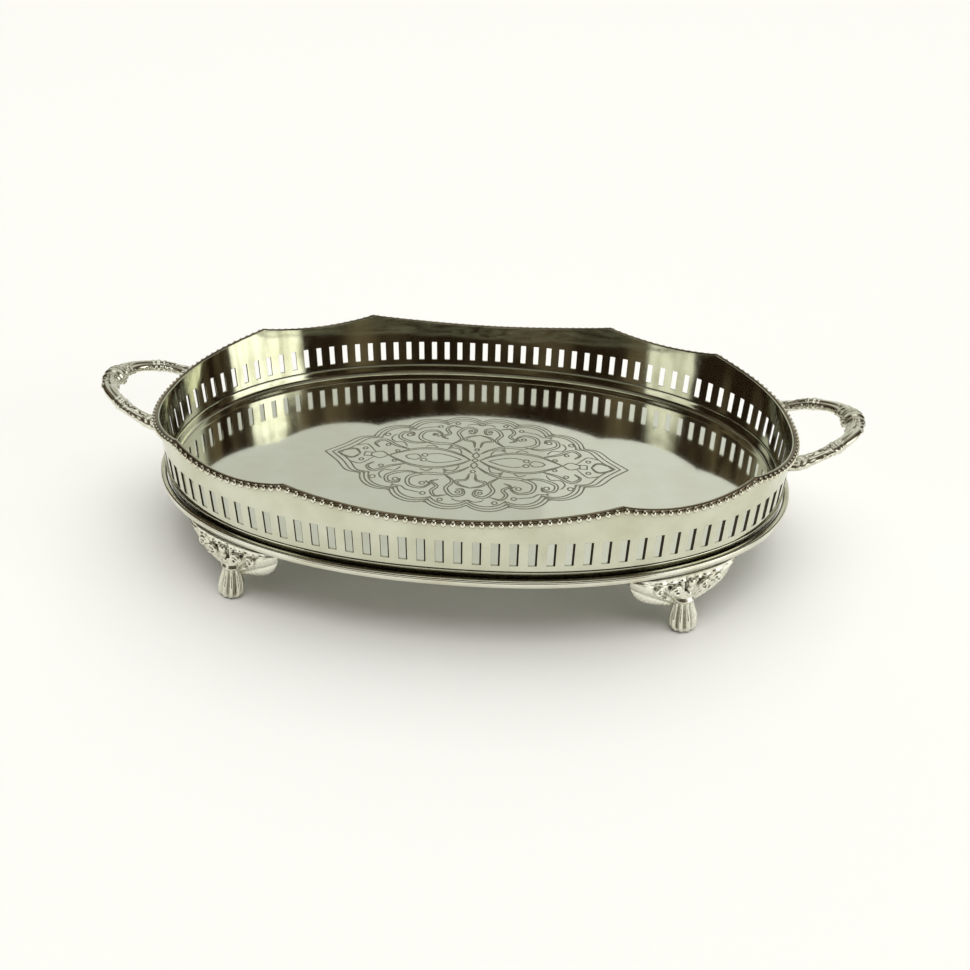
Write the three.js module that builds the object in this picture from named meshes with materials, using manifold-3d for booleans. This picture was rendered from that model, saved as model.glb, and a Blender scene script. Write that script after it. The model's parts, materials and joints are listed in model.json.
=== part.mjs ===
// Oval gallery serving tray in silver-plated brass, in millimetres, +Z up.
// The origin is on the table under the middle of the tray, +X runs to the right-hand handle and
// -Y is the front. A pressed oval pan carries a pierced wall with a scalloped top edge, made as a
// front half and a back half. Beaded wires trim the top edge, a round wire trims the base,
// two cast loop handles join the ends and four cast leaf feet hold the tray off the table.
import * as THREE from 'three';
import { mergeGeometries, mergeVertices } from 'three/addons/utils/BufferGeometryUtils.js';
import Module from 'manifold-3d';

const wasm = await Module();
wasm.setup();

// The oval is a superellipse |x/a|^n + |y/b|^n = 1, taken at the outer face of the wall's foot.
const OVAL_HALF_LENGTH = 200;
const OVAL_HALF_WIDTH = 134;
const OVAL_POWER = 2.2;
const GAP = 0.3;

// Heights are above the table, to the named surface.
const FLOOR_TOP = 40;
const SHEET = 1.2;
const STEP_RISE = 6.5;
const WALL_FOOT = FLOOR_TOP + STEP_RISE + GAP;
const SLOT_BOTTOM = FLOOR_TOP + 10.5;
const SLOT_HEIGHT = 14.6;
const SLOT_WIDTH = 4.8;
const SLOT_COUNT = 108;
const EDGE_DIP = FLOOR_TOP + 38.5;
const EDGE_PEAK = FLOOR_TOP + 47;

// The wall leans out a little, by this much for each millimetre of height.
const WALL_THICKNESS = 1.3;
const WALL_FLARE = 0.02;

// The top edge's points lie this many slots from the tray's two ends: one pair near each end,
// and one pair on each long side.
const END_PEAK_SLOTS = 9.5;
const SIDE_PEAK_SLOTS = 17.9;

// Between two points that lie closer together the edge sags less, by this power of the distance.
const SHORT_SPAN_POWER = 0.45;

const BEAD_WIRE_RADIUS = 1.7;
const BASE_WIRE_RADIUS = 2.2;
const BASE_WIRE_HEIGHT = FLOOR_TOP + 0.7;

// The pan's skirt stands just outside the wall's foot, with the base wire round it.
const SKIRT_FACE = 0.1;

const HANDLE_REACH = 38;
const HANDLE_RISE = 13;
const HANDLE_SPREAD = 38;
const HANDLE_ROOT_HEIGHT = FLOOR_TOP + 31;
const BAR_RADIUS = 3.9;

const FOOT_TURN = 1 / 8;
const SHIELD_WIDTH = 71;
const SHIELD_DROP = 21;
const SHIELD_BULGE = 10;
const SHIELD_THICKNESS = 2;
const SHIELD_INSET = -4;
const LEG_WIDTH = 15;
const LEG_DEPTH = 11;
const SOLE_OFFSET = 5;

const SILVER = { color: 0xd9d8cc, roughness: 0.12, metalness: 1 };
const CAST_SILVER = { color: 0xd0cfc0, roughness: 0.22, metalness: 1 };

// ---- The oval, measured by its length ----

const OVAL_SAMPLES = 4320;

function ovalPoint(angle) {
  const across = Math.cos(angle);
  const along = Math.sin(angle);
  const power = 2 / OVAL_POWER;
  return new THREE.Vector2(
    OVAL_HALF_LENGTH * Math.sign(across) * Math.abs(across) ** power,
    OVAL_HALF_WIDTH * Math.sign(along) * Math.abs(along) ** power,
  );
}

function measureOval() {
  const lengths = [0];
  let before = ovalPoint(0);
  for (let i = 1; i <= OVAL_SAMPLES; i += 1) {
    const here = ovalPoint((2 * Math.PI * i) / OVAL_SAMPLES);
    lengths.push(lengths[i - 1] + here.distanceTo(before));
    before = here;
  }
  return lengths;
}

const ovalLengths = measureOval();
const PERIMETER = ovalLengths[OVAL_SAMPLES];

// The point and outward direction at a turn: 0 is the right-hand end and 1/4 the back's middle.
function ovalAt(turn) {
  const wanted = (turn - Math.floor(turn)) * PERIMETER;
  let low = 0;
  let high = OVAL_SAMPLES;
  while (high - low > 1) {
    const middle = (low + high) >> 1;
    if (ovalLengths[middle] <= wanted) low = middle;
    else high = middle;
  }
  const share = (wanted - ovalLengths[low]) / (ovalLengths[high] - ovalLengths[low]);
  const point = ovalPoint((2 * Math.PI * (low + share)) / OVAL_SAMPLES);
  const slopeX = Math.sign(point.x) * (Math.abs(point.x) / OVAL_HALF_LENGTH) ** (OVAL_POWER - 1);
  const slopeY = Math.sign(point.y) * (Math.abs(point.y) / OVAL_HALF_WIDTH) ** (OVAL_POWER - 1);
  const outward = new THREE.Vector2(slopeX / OVAL_HALF_LENGTH, slopeY / OVAL_HALF_WIDTH);
  return { point, outward: outward.normalize() };
}

// A place beside the oval: out is the distance outside it, up the height above the table.
function besideOval(turn, out, up) {
  const { point, outward } = ovalAt(turn);
  return new THREE.Vector3(point.x + outward.x * out, point.y + outward.y * out, up);
}

// The wall's outer face leans out from its foot.
const leanAt = (up) => WALL_FLARE * (up - WALL_FOOT);

// The scalloped top edge: between two neighbouring points it hangs in a shallow curve.
function edgeHeight(turn) {
  const slots = SLOT_COUNT * Math.abs(((turn + 0.75) % 0.5) - 0.25);
  const quarter = SLOT_COUNT / 4;
  const spans = [
    [-END_PEAK_SLOTS, END_PEAK_SLOTS],
    [END_PEAK_SLOTS, SIDE_PEAK_SLOTS],
    [SIDE_PEAK_SLOTS, 2 * quarter - SIDE_PEAK_SLOTS],
  ];
  const [from, to] = spans.find(([, end]) => slots <= end);
  const place = (slots - from) / (to - from);
  const length = Math.min(1, (to - from) / (2 * END_PEAK_SLOTS));
  const deepest = length ** SHORT_SPAN_POWER * (EDGE_PEAK - EDGE_DIP);
  return EDGE_PEAK - deepest * Math.sin(Math.PI * place) ** 0.8;
}

// ---- Making and joining solids ----

// The same surface with shared corners joined and flattened triangles left out.
function closed(geometry) {
  const bare = geometry.clone();
  bare.deleteAttribute('normal');
  bare.deleteAttribute('uv');
  const joined = mergeVertices(bare, 1e-4);
  const index = joined.index.array;
  const kept = [];
  for (let i = 0; i < index.length; i += 3) {
    const [a, b, c] = index.slice(i, i + 3);
    if (a !== b && b !== c && c !== a) kept.push(a, b, c);
  }
  joined.setIndex(kept);
  return joined;
}

function solid(geometry) {
  const shell = closed(geometry);
  return new wasm.Manifold(new wasm.Mesh({
    numProp: 3,
    vertProperties: new Float32Array(shell.attributes.position.array),
    triVerts: new Uint32Array(shell.index.array),
  }));
}

function surface(manifold) {
  const mesh = manifold.getMesh();
  const geometry = new THREE.BufferGeometry();
  geometry.setAttribute('position', new THREE.BufferAttribute(mesh.vertProperties, 3));
  geometry.setIndex(new THREE.BufferAttribute(mesh.triVerts, 1));
  geometry.computeVertexNormals();
  return geometry;
}

function box(width, depth, height, x, y, z) {
  return solid(new THREE.BoxGeometry(width, depth, height).translate(x, y, z));
}

function ellipsoid(halfX, halfY, halfZ) {
  const sphere = new THREE.SphereGeometry(1, 14, 9).rotateX(Math.PI / 2);
  return sphere.scale(halfX, halfY, halfZ);
}

// A ring carried round the oval. Its section is a closed outline of [out, up] points, taken
// anticlockwise, and place says where each point of the round ring goes on the tray.
const RING_RADIUS = 300;

function ring(section, segments, place) {
  const outline = [...section, section[0]];
  const points = outline.map(([out, up]) => new THREE.Vector2(RING_RADIUS + out, up));
  const geometry = new THREE.LatheGeometry(points, segments, Math.PI / segments);
  const corners = geometry.attributes.position;
  for (let i = 0; i < corners.count; i += 1) {
    const turn = Math.atan2(corners.getX(i), corners.getZ(i)) / (2 * Math.PI);
    const out = Math.hypot(corners.getX(i), corners.getZ(i)) - RING_RADIUS;
    const { x, y, z } = place(turn, out, corners.getY(i));
    corners.setXYZ(i, x, y, z);
  }
  return geometry;
}

// A round wire's section, as a polygon with the given number of sides.
function wireSection(radius, sides, out, up) {
  return Array.from({ length: sides }, (_, i) => {
    const angle = (2 * Math.PI * (i + 0.5)) / sides;
    return [out + radius * Math.cos(angle), up + radius * Math.sin(angle)];
  });
}

function part(name, geometry, finish) {
  const mesh = new THREE.Mesh(geometry, new THREE.MeshStandardMaterial(finish));
  mesh.name = name;
  return mesh;
}

// ---- The pan ----

// The flat floor rises in a cove to a narrow seat under the wall, then turns down in a skirt.
const PAN_SEGMENTS = 72;

function pan() {
  const underside = FLOOR_TOP - SHEET;
  const seat = FLOOR_TOP + STEP_RISE;
  const floorEdge = -8;
  const section = [
    [-RING_RADIUS, underside],
    [floorEdge, underside],
    [-4.6, underside + 1.1],
    [-2.4, underside + 4],
    [-2.2, seat - SHEET],
    [SKIRT_FACE - SHEET, seat - SHEET],
    [SKIRT_FACE - SHEET, underside + 0.2],
    [SKIRT_FACE, underside + 0.2],
    [SKIRT_FACE, seat - 3],
    [SKIRT_FACE + 0.5, seat],
    [-3.2, seat],
    [-3.6, seat - 3],
    [-5.2, FLOOR_TOP + 0.9],
    [floorEdge, FLOOR_TOP],
    [-RING_RADIUS, FLOOR_TOP],
  ];
  const place = (turn, out, up) => {
    if (out >= floorEdge) return besideOval(turn, out, up);
    const border = besideOval(turn, floorEdge, up);
    const share = (RING_RADIUS + out) / (RING_RADIUS + floorEdge);
    return new THREE.Vector3(border.x * share, border.y * share, up);
  };
  return closed(ring(section, PAN_SEGMENTS, place));
}

// The wire soldered round the pan's skirt.
function baseWire() {
  const out = SKIRT_FACE + GAP + BASE_WIRE_RADIUS;
  const section = wireSection(BASE_WIRE_RADIUS, 6, out, BASE_WIRE_HEIGHT);
  return closed(ring(section, PAN_SEGMENTS, besideOval));
}

// ---- The gallery ----

const WALL_SEGMENTS = 2 * SLOT_COUNT;

function slotCutters() {
  const boxes = [];
  for (let i = 0; i < SLOT_COUNT; i += 1) {
    const { point, outward } = ovalAt((i + 0.5) / SLOT_COUNT);
    const cutter = new THREE.BoxGeometry(4 * WALL_THICKNESS, SLOT_WIDTH, SLOT_HEIGHT);
    cutter.rotateZ(Math.atan2(outward.y, outward.x));
    boxes.push(cutter.translate(point.x, point.y, SLOT_BOTTOM + SLOT_HEIGHT / 2));
  }
  return solid(mergeGeometries(boxes));
}

function wall() {
  const section = [
    [-WALL_THICKNESS, 0],
    [0, 0],
    [0, 1],
    [-WALL_THICKNESS, 1],
  ];
  const place = (turn, out, share) => {
    const up = WALL_FOOT + share * (edgeHeight(turn) - WALL_FOOT);
    return besideOval(turn, out + leanAt(up), up);
  };
  return solid(ring(section, WALL_SEGMENTS, place)).subtract(slotCutters());
}

function beadWire() {
  const out = GAP + BEAD_WIRE_RADIUS;
  const place = (turn, outward, up) => {
    const height = edgeHeight(turn) + up;
    return besideOval(turn, outward + leanAt(height), height);
  };
  return solid(ring(wireSection(BEAD_WIRE_RADIUS, 5, out, -1.5), WALL_SEGMENTS, place));
}

// The half of a ring on one side of the seams at the tray's two ends; side is 1 for the back.
function halfOf(whole, side) {
  const span = 4 * OVAL_HALF_LENGTH;
  return surface(whole.intersect(box(span, span, span, 0, side * (span / 2 + GAP / 2), 0)));
}

// ---- The handles ----

// Everything inside the wall's outer face and a gap round it, for trimming the handles' roots.
function insideWall() {
  const section = [
    [-RING_RADIUS, WALL_FOOT - 10],
    [GAP, WALL_FOOT - 10],
    [GAP, EDGE_PEAK],
    [-RING_RADIUS, EDGE_PEAK],
  ];
  const place = (turn, out, up) => {
    const share = out > 0 ? 1 : 0;
    return besideOval(turn, GAP + leanAt(up), up).multiply(new THREE.Vector3(share, share, 1));
  };
  return solid(ring(section, WALL_SEGMENTS / 3, place));
}

function handlePath() {
  const stations = [
    [-6, 1, -0.02],
    [2, 0.97, 0.06],
    [HANDLE_REACH * 0.5, 0.82, 0.56],
    [HANDLE_REACH * 0.84, 0.53, 0.86],
    [HANDLE_REACH * 0.98, 0.22, 0.97],
  ];
  const side = (spread) => stations.map(([out, across, rise]) => new THREE.Vector3(
    OVAL_HALF_LENGTH + out,
    spread * HANDLE_SPREAD * across,
    HANDLE_ROOT_HEIGHT + HANDLE_RISE * rise,
  ));
  const crown = new THREE.Vector3(
    OVAL_HALF_LENGTH + HANDLE_REACH,
    0,
    HANDLE_ROOT_HEIGHT + HANDLE_RISE,
  );
  return new THREE.CatmullRomCurve3([...side(-1), crown, ...side(1).reverse()]);
}

// A swelling on the bar, long along the path and thick across it.
function swelling(path, share, halfLength, halfThickness) {
  const knob = ellipsoid(halfThickness, halfThickness, halfLength);
  const forward = new THREE.Vector3(0, 0, 1);
  knob.applyQuaternion(new THREE.Quaternion().setFromUnitVectors(forward, path.getTangentAt(share)));
  const { x, y, z } = path.getPointAt(share);
  return solid(knob.translate(x, y, z));
}

// One cast loop handle: the bar, a leafy knuckle at its crown, a collar on each arm and a leaf
// at each root.
function handle() {
  const path = handlePath();
  const sides = wireSection(BAR_RADIUS, 8, 0, 0).map(([x, y]) => new THREE.Vector2(x, y));
  const bar = new THREE.ExtrudeGeometry(new THREE.Shape(sides), { steps: 26, extrudePath: path });
  let casting = solid(bar).add(swelling(path, 0.5, 8.5, 6.6));
  for (const share of [0.25, 0.75]) casting = casting.add(swelling(path, share, 5.5, 4.9));
  for (const spread of [-1, 1]) {
    const leaf = ellipsoid(4.5, 8, 4.8);
    leaf.translate(OVAL_HALF_LENGTH - 4.5, spread * HANDLE_SPREAD, HANDLE_ROOT_HEIGHT);
    casting = casting.add(solid(leaf));
  }
  return surface(casting.subtract(insideWall()));
}

// ---- The feet ----

// One cast foot in its own frame: +X along the oval, +Y outwards, +Z up from the table, with
// the origin under the foot of the wall. A bowed leaf shield hangs under the base and runs down
// into a short leg that ends in a paw with a flat sole.
function foot() {
  const top = BASE_WIRE_HEIGHT - BASE_WIRE_RADIUS - GAP;
  const shell = (shrink) => solid(ellipsoid(
    SHIELD_WIDTH / 2 - shrink,
    SHIELD_BULGE - 1.5 * shrink,
    SHIELD_DROP - shrink,
  ).translate(0, SHIELD_INSET, top + 3));
  const behind = box(2 * SHIELD_WIDTH, 40, 2 * top, 0, SHIELD_INSET - 20, top);
  const shield = shell(0).subtract(shell(SHIELD_THICKNESS)).subtract(behind);
  const leg = ellipsoid(LEG_WIDTH / 2, LEG_DEPTH / 2, 13).translate(0, 1, 17);
  const paw = ellipsoid(LEG_WIDTH / 2 + 0.8, LEG_DEPTH / 2 + 0.6, 11).translate(0, SOLE_OFFSET, 7);
  const standing = box(2 * SHIELD_WIDTH, 100, top, 0, 0, top / 2);
  return shield.add(solid(leg)).add(solid(paw)).intersect(standing);
}

// ---- The assembly ----

const tray = new THREE.Group();
tray.add(part('tray_base_pan', pan(), SILVER));
tray.add(part('base_edge_wire', baseWire(), SILVER));

const gallery = wall();
const trim = beadWire();
for (const [where, side] of [['front', -1], ['back', 1]]) {
  tray.add(part(`gallery_wall_${where}`, halfOf(gallery, side), SILVER));
  tray.add(part(`rim_bead_wire_${where}`, halfOf(trim, side), SILVER));
}

const casting = handle();
for (const [where, angle] of [['right', 0], ['left', Math.PI]]) {
  const loop = part(`handle_${where}`, casting.clone(), CAST_SILVER);
  loop.rotation.z = angle;
  tray.add(loop);
}

const footCasting = surface(foot());
const FEET = ['back_right', 'back_left', 'front_left', 'front_right'];
FEET.forEach((where, i) => {
  const { point, outward } = ovalAt(FOOT_TURN + i / 4);
  const bracket = part(`foot_${where}`, footCasting.clone(), CAST_SILVER);
  bracket.position.set(point.x, point.y, 0);
  bracket.rotation.z = Math.atan2(outward.y, outward.x) - Math.PI / 2;
  tray.add(bracket);
});

export default tray;
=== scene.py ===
import json
import math

import bmesh
import bpy
import numpy as np
from mathutils import Matrix, Vector, kdtree
from mathutils.geometry import delaunay_2d_cdt


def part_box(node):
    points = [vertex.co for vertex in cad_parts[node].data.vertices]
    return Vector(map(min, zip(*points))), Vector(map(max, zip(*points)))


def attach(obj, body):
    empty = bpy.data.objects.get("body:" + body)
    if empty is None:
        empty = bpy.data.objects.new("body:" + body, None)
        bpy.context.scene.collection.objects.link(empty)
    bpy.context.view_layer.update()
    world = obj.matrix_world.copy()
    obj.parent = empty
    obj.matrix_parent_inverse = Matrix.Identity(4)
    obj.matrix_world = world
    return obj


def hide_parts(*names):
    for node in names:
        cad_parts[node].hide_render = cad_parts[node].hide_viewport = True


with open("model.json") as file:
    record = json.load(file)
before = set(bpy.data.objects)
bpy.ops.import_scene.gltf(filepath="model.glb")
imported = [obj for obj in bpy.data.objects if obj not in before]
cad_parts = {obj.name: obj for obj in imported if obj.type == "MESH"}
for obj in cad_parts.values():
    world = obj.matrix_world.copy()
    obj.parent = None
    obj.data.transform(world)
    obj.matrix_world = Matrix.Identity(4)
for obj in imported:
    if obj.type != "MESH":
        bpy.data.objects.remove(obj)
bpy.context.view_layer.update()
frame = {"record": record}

MM = 0.001

# ----------------------------------------
# Sizes, from the frame
# ----------------------------------------

PAN_LOW, PAN_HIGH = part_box("tray_base_pan")
WALL_LOW, WALL_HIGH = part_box("gallery_wall_back")
BASE_WIRE_LOW, BASE_WIRE_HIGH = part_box("base_edge_wire")
HANDLE_LOW, HANDLE_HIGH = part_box("handle_right")
FOOT_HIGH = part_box("foot_front_right")[1]
FLOOR_MOUNT = next(m for m in frame["record"]["mounts"] if m["name"] == "tray_floor")

SEAT_OVERHANG = 0.5 * MM
OVAL_HALF_LENGTH = PAN_HIGH.x - SEAT_OVERHANG
OVAL_HALF_WIDTH = PAN_HIGH.y - SEAT_OVERHANG
OVAL_POWER = 2.2

FLOOR_TOP = FLOOR_MOUNT["pos_m"][2]
PAN_BOTTOM = PAN_LOW.z
SEAT = PAN_HIGH.z
WALL_FOOT = WALL_LOW.z
WALL_THICKNESS = 1.3 * MM
WALL_FLARE = 0.02
EDGE_PEAK = WALL_HIGH.z + 0.6 * MM
EDGE_DIP = EDGE_PEAK - 8.5 * MM
END_PEAK_SLOTS = 9.5
SIDE_PEAK_SLOTS = 17.9
SHORT_SPAN_POWER = 0.45
EDGE_CURVE_POWER = 0.8

SLOT_COUNT = 108
SLOT_BOTTOM = FLOOR_TOP + 10.5 * MM
SLOT_HEIGHT = 14.6 * MM
SLOT_WIDTH = 4.8 * MM


# ----------------------------------------
# The oval, measured by its length
# ----------------------------------------

def superellipse(angle):
    across, along = np.cos(angle), np.sin(angle)
    power = 2 / OVAL_POWER
    x = OVAL_HALF_LENGTH * np.sign(across) * np.abs(across) ** power
    y = OVAL_HALF_WIDTH * np.sign(along) * np.abs(along) ** power
    return x, y


OVAL_ANGLES = np.linspace(0, 2 * math.pi, 14401)
OVAL_LENGTHS = np.concatenate(
    [[0], np.cumsum(np.hypot(*np.diff(superellipse(OVAL_ANGLES), axis=1)))]
)
PERIMETER = OVAL_LENGTHS[-1]
SLOT_PITCH = PERIMETER / SLOT_COUNT


def beside_oval(turn, out, up):
    """Points beside the oval, at a height. Turn 0 is the right-hand end, 1/4 the back's middle."""
    turn, out, up = np.broadcast_arrays(turn, out, up)
    angle = np.interp(np.mod(turn, 1.0) * PERIMETER, OVAL_LENGTHS, OVAL_ANGLES)
    x, y = superellipse(angle)
    slope_x = np.sign(x) * (np.abs(x) / OVAL_HALF_LENGTH) ** (OVAL_POWER - 1) / OVAL_HALF_LENGTH
    slope_y = np.sign(y) * (np.abs(y) / OVAL_HALF_WIDTH) ** (OVAL_POWER - 1) / OVAL_HALF_WIDTH
    size = np.hypot(slope_x, slope_y)
    return np.stack([x + out * slope_x / size, y + out * slope_y / size, up], axis=-1)


def edge_height(turn):
    """The scalloped top edge: between two neighbouring points it hangs in a shallow curve."""
    slots = SLOT_COUNT * np.abs(np.mod(turn + 0.75, 0.5) - 0.25)
    quarter = SLOT_COUNT / 4
    spans = [
        (-END_PEAK_SLOTS, END_PEAK_SLOTS),
        (END_PEAK_SLOTS, SIDE_PEAK_SLOTS),
        (SIDE_PEAK_SLOTS, 2 * quarter - SIDE_PEAK_SLOTS),
    ]
    height = np.full_like(slots, EDGE_PEAK)
    for start, end in spans:
        inside = (slots >= start) & (slots <= end)
        share = np.clip((slots - start) / (end - start), 0, 1)
        length = min(1, (end - start) / (2 * END_PEAK_SLOTS))
        depth = length ** SHORT_SPAN_POWER * (EDGE_PEAK - EDGE_DIP)
        sag = np.sin(math.pi * share) ** EDGE_CURVE_POWER
        height = np.where(inside, EDGE_PEAK - depth * sag, height)
    return height


def lean_at(up):
    return WALL_FLARE * (up - WALL_FOOT)


# ----------------------------------------
# Mesh helpers
# ----------------------------------------

def grid_faces(rows, columns, wrap_rows=False, wrap_columns=False):
    row, column = np.meshgrid(
        np.arange(rows if wrap_rows else rows - 1),
        np.arange(columns if wrap_columns else columns - 1),
        indexing="ij",
    )
    next_row, next_column = (row + 1) % rows, (column + 1) % columns
    corners = [
        row * columns + column,
        next_row * columns + column,
        next_row * columns + next_column,
        row * columns + next_column,
    ]
    return np.stack(corners, axis=-1).reshape(-1, 4)


def unit(vectors):
    return vectors / (np.linalg.norm(vectors, axis=-1)[..., None] + 1e-12)


def sideways(line):
    """The unit directions to the left of a flat line."""
    along = np.gradient(line, axis=0)
    return unit(np.stack([-along[:, 1], along[:, 0]], axis=-1))


def joined(shells):
    """Several (vertices, faces) shells as one."""
    vertices, faces, start = [], [], 0
    for points, loops in shells:
        vertices.extend(np.asarray(points).reshape(-1, 3).tolist())
        faces.extend([[int(i) + start for i in loop] for loop in loops])
        start = len(vertices)
    return vertices, faces


def placed(name, data):
    thing = bpy.data.objects.new(name, data)
    bpy.context.scene.collection.objects.link(thing)
    return thing


def smooth(mesh, sharp_angle=180):
    """Smooth shading, apart from edges sharper than the angle in degrees."""
    mesh.polygons.foreach_set("use_smooth", [True] * len(mesh.polygons))
    if sharp_angle < 180:
        mesh.set_sharp_from_angle(angle=math.radians(sharp_angle))


def bake_modifiers(piece):
    graph = bpy.context.evaluated_depsgraph_get()
    mesh = bpy.data.meshes.new_from_object(piece.evaluated_get(graph))
    piece.modifiers.clear()
    piece.data = mesh


def mesh_object(name, shells, sharp_angle=35, weld=0.0):
    vertices, faces = joined(shells)
    mesh = bpy.data.meshes.new(name)
    mesh.from_pydata(vertices, [], faces)
    work = bmesh.new()
    work.from_mesh(mesh)
    if weld:
        bmesh.ops.remove_doubles(work, verts=work.verts, dist=weld)
    loose = [v for v in work.verts if not v.link_faces]
    bmesh.ops.delete(work, geom=loose, context="VERTS")
    bmesh.ops.recalc_face_normals(work, faces=work.faces)
    work.to_mesh(mesh)
    work.free()
    smooth(mesh, sharp_angle)
    return placed(name, mesh)


def tube(points, sections):
    """A closed loft: sections[i] is the outline round points[i], as offsets in space."""
    rings = points[:, None, :] + sections
    count, sides = rings.shape[:2]
    faces = grid_faces(count, sides, wrap_columns=True).tolist()
    faces.append(list(range(sides)))
    faces.append([(count - 1) * sides + i for i in reversed(range(sides))])
    return rings.reshape(-1, 3), faces


def ellipsoid(centre, axes, around=20, levels=12):
    """An ellipsoid whose three half axes are the rows of axes."""
    theta = np.linspace(0, math.pi, levels + 1)[1:-1, None]
    phi = np.linspace(0, 2 * math.pi, around, endpoint=False)[None, :]
    ball = np.stack(
        np.broadcast_arrays(np.sin(theta) * np.cos(phi), np.sin(theta) * np.sin(phi), np.cos(theta)),
        axis=-1,
    ).reshape(-1, 3)
    ball = np.vstack([ball, [0, 0, 1], [0, 0, -1]])
    faces = grid_faces(levels - 1, around, wrap_columns=True).tolist()
    top, bottom, last = len(ball) - 2, len(ball) - 1, (levels - 2) * around
    for i in range(around):
        faces.append([top, i, (i + 1) % around])
        faces.append([bottom, last + (i + 1) % around, last + i])
    return np.asarray(centre) + ball @ np.asarray(axes), faces


def through(points, spacing):
    """A smooth curve through the given points, sampled about every spacing."""
    points = np.asarray(points, float)
    padded = np.vstack([2 * points[0] - points[1], points, 2 * points[-1] - points[-2]])
    samples = []
    for a, b, c, d in zip(padded, padded[1:], padded[2:], padded[3:]):
        count = max(2, int(np.ceil(np.linalg.norm(c - b) / spacing)))
        t = np.linspace(0, 1, count, endpoint=False)[:, None]
        samples.append(0.5 * (
            2 * b
            + (c - a) * t
            + (2 * a - 5 * b + 4 * c - d) * t ** 2
            + (3 * b - a - 3 * c + d) * t ** 3
        ))
    samples.append(points[-1:])
    return np.vstack(samples)


def rounded(points, rounds=2):
    """The same outline with its corners cut back, keeping its two ends."""
    points = np.asarray(points, float)
    for _ in range(rounds):
        near, far = points[:-1], points[1:]
        cut = np.stack([near * 0.75 + far * 0.25, near * 0.25 + far * 0.75], axis=1)
        points = np.vstack([points[:1], cut.reshape(-1, points.shape[1])[1:-1], points[-1:]])
    return points


def swell(distance, middle, width):
    """A smooth bump of height 1 round the middle."""
    return np.exp(-(((distance - middle) / width) ** 2))


def finish_piece(piece, nodes, material):
    piece.data.materials.append(material)
    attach(piece, "root")
    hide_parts(*nodes)


def fuse(piece, voxel):
    """Makes one cast surface of the overlapping shells that a casting is built from."""
    remesh = piece.modifiers.new("cast", "REMESH")
    remesh.mode = "VOXEL"
    remesh.voxel_size = voxel
    soften = piece.modifiers.new("soften", "SMOOTH")
    soften.factor = 0.5
    soften.iterations = 1
    bake_modifiers(piece)
    smooth(piece.data)


# ----------------------------------------
# Materials
# ----------------------------------------

class NodeTree:
    """A small builder for a node tree. A value is a number, a colour or another node's output."""

    def __init__(self, tree):
        self.tree = tree

    def add(self, kind, **values):
        node = self.tree.nodes.new(kind)
        for key, value in values.items():
            setattr(node, key, value)
        return node

    def link(self, value, socket):
        if isinstance(value, tuple):
            socket.default_value = (*value, 1)
        elif isinstance(value, (int, float)):
            socket.default_value = value
        else:
            self.tree.links.new(value, socket)

    def noise(self, vector, scale, detail, roughness):
        noise = self.add("ShaderNodeTexNoise")
        self.link(scale, noise.inputs["Scale"])
        self.link(detail, noise.inputs["Detail"])
        self.link(roughness, noise.inputs["Roughness"])
        self.link(vector, noise.inputs["Vector"])
        return noise.outputs["Fac"]

    def mapped(self, source, low, high, to_low=0.0, to_high=1.0, curve="LINEAR"):
        """The source's range from low to high, stretched to another range."""
        node = self.add("ShaderNodeMapRange", interpolation_type=curve)
        names = ("Value", "From Min", "From Max", "To Min", "To Max")
        for name, value in zip(names, (source, low, high, to_low, to_high)):
            self.link(value, node.inputs[name])
        return node.outputs["Result"]

    def mix(self, factor, first, second):
        mix = self.add("ShaderNodeMix", data_type="RGBA")
        self.link(factor, mix.inputs["Factor"])
        self.link(first, mix.inputs[6])
        self.link(second, mix.inputs[7])
        return mix.outputs[2]

    def maths(self, operation, first, second=0.0):
        node = self.add("ShaderNodeMath", operation=operation)
        self.link(first, node.inputs[0])
        self.link(second, node.inputs[1])
        return node.outputs["Value"]


class MaterialNodes(NodeTree):
    def __init__(self, name, metallic):
        self.material = bpy.data.materials.new(name)
        self.material.use_nodes = True
        super().__init__(self.material.node_tree)
        self.shader = self.tree.nodes["Principled BSDF"]
        self.link(metallic, self.shader.inputs["Metallic"])
        self.position = self.add("ShaderNodeTexCoord").outputs["Object"]

    def grain(self, scale, detail=4.0, roughness=0.55, stretch=(1, 1, 1)):
        mapping = self.add("ShaderNodeMapping")
        mapping.inputs["Scale"].default_value = stretch
        self.link(self.position, mapping.inputs["Vector"])
        return self.noise(mapping.outputs["Vector"], scale, detail, roughness)

    def ramp(self, source, stops):
        ramp = self.add("ShaderNodeValToRGB")
        for element, (place, colour) in zip(ramp.color_ramp.elements, stops):
            element.position = place
            element.color = (*colour, 1)
        self.link(source, ramp.inputs["Fac"])
        return ramp.outputs["Color"]

    def bump(self, height, distance, before=None):
        bump = self.add("ShaderNodeBump")
        self.link(distance, bump.inputs["Distance"])
        self.link(height, bump.inputs["Height"])
        if before is not None:
            self.link(before, bump.inputs["Normal"])
        return bump.outputs["Normal"]


# Darkening in the hollows, partly old polish and tarnish and partly painted shade, from its darkest to
# its lightest.
TARNISH_AND_SHADE_DARK, TARNISH_AND_SHADE_LIGHT = (0.045, 0.036, 0.020), (0.13, 0.11, 0.065)


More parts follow.
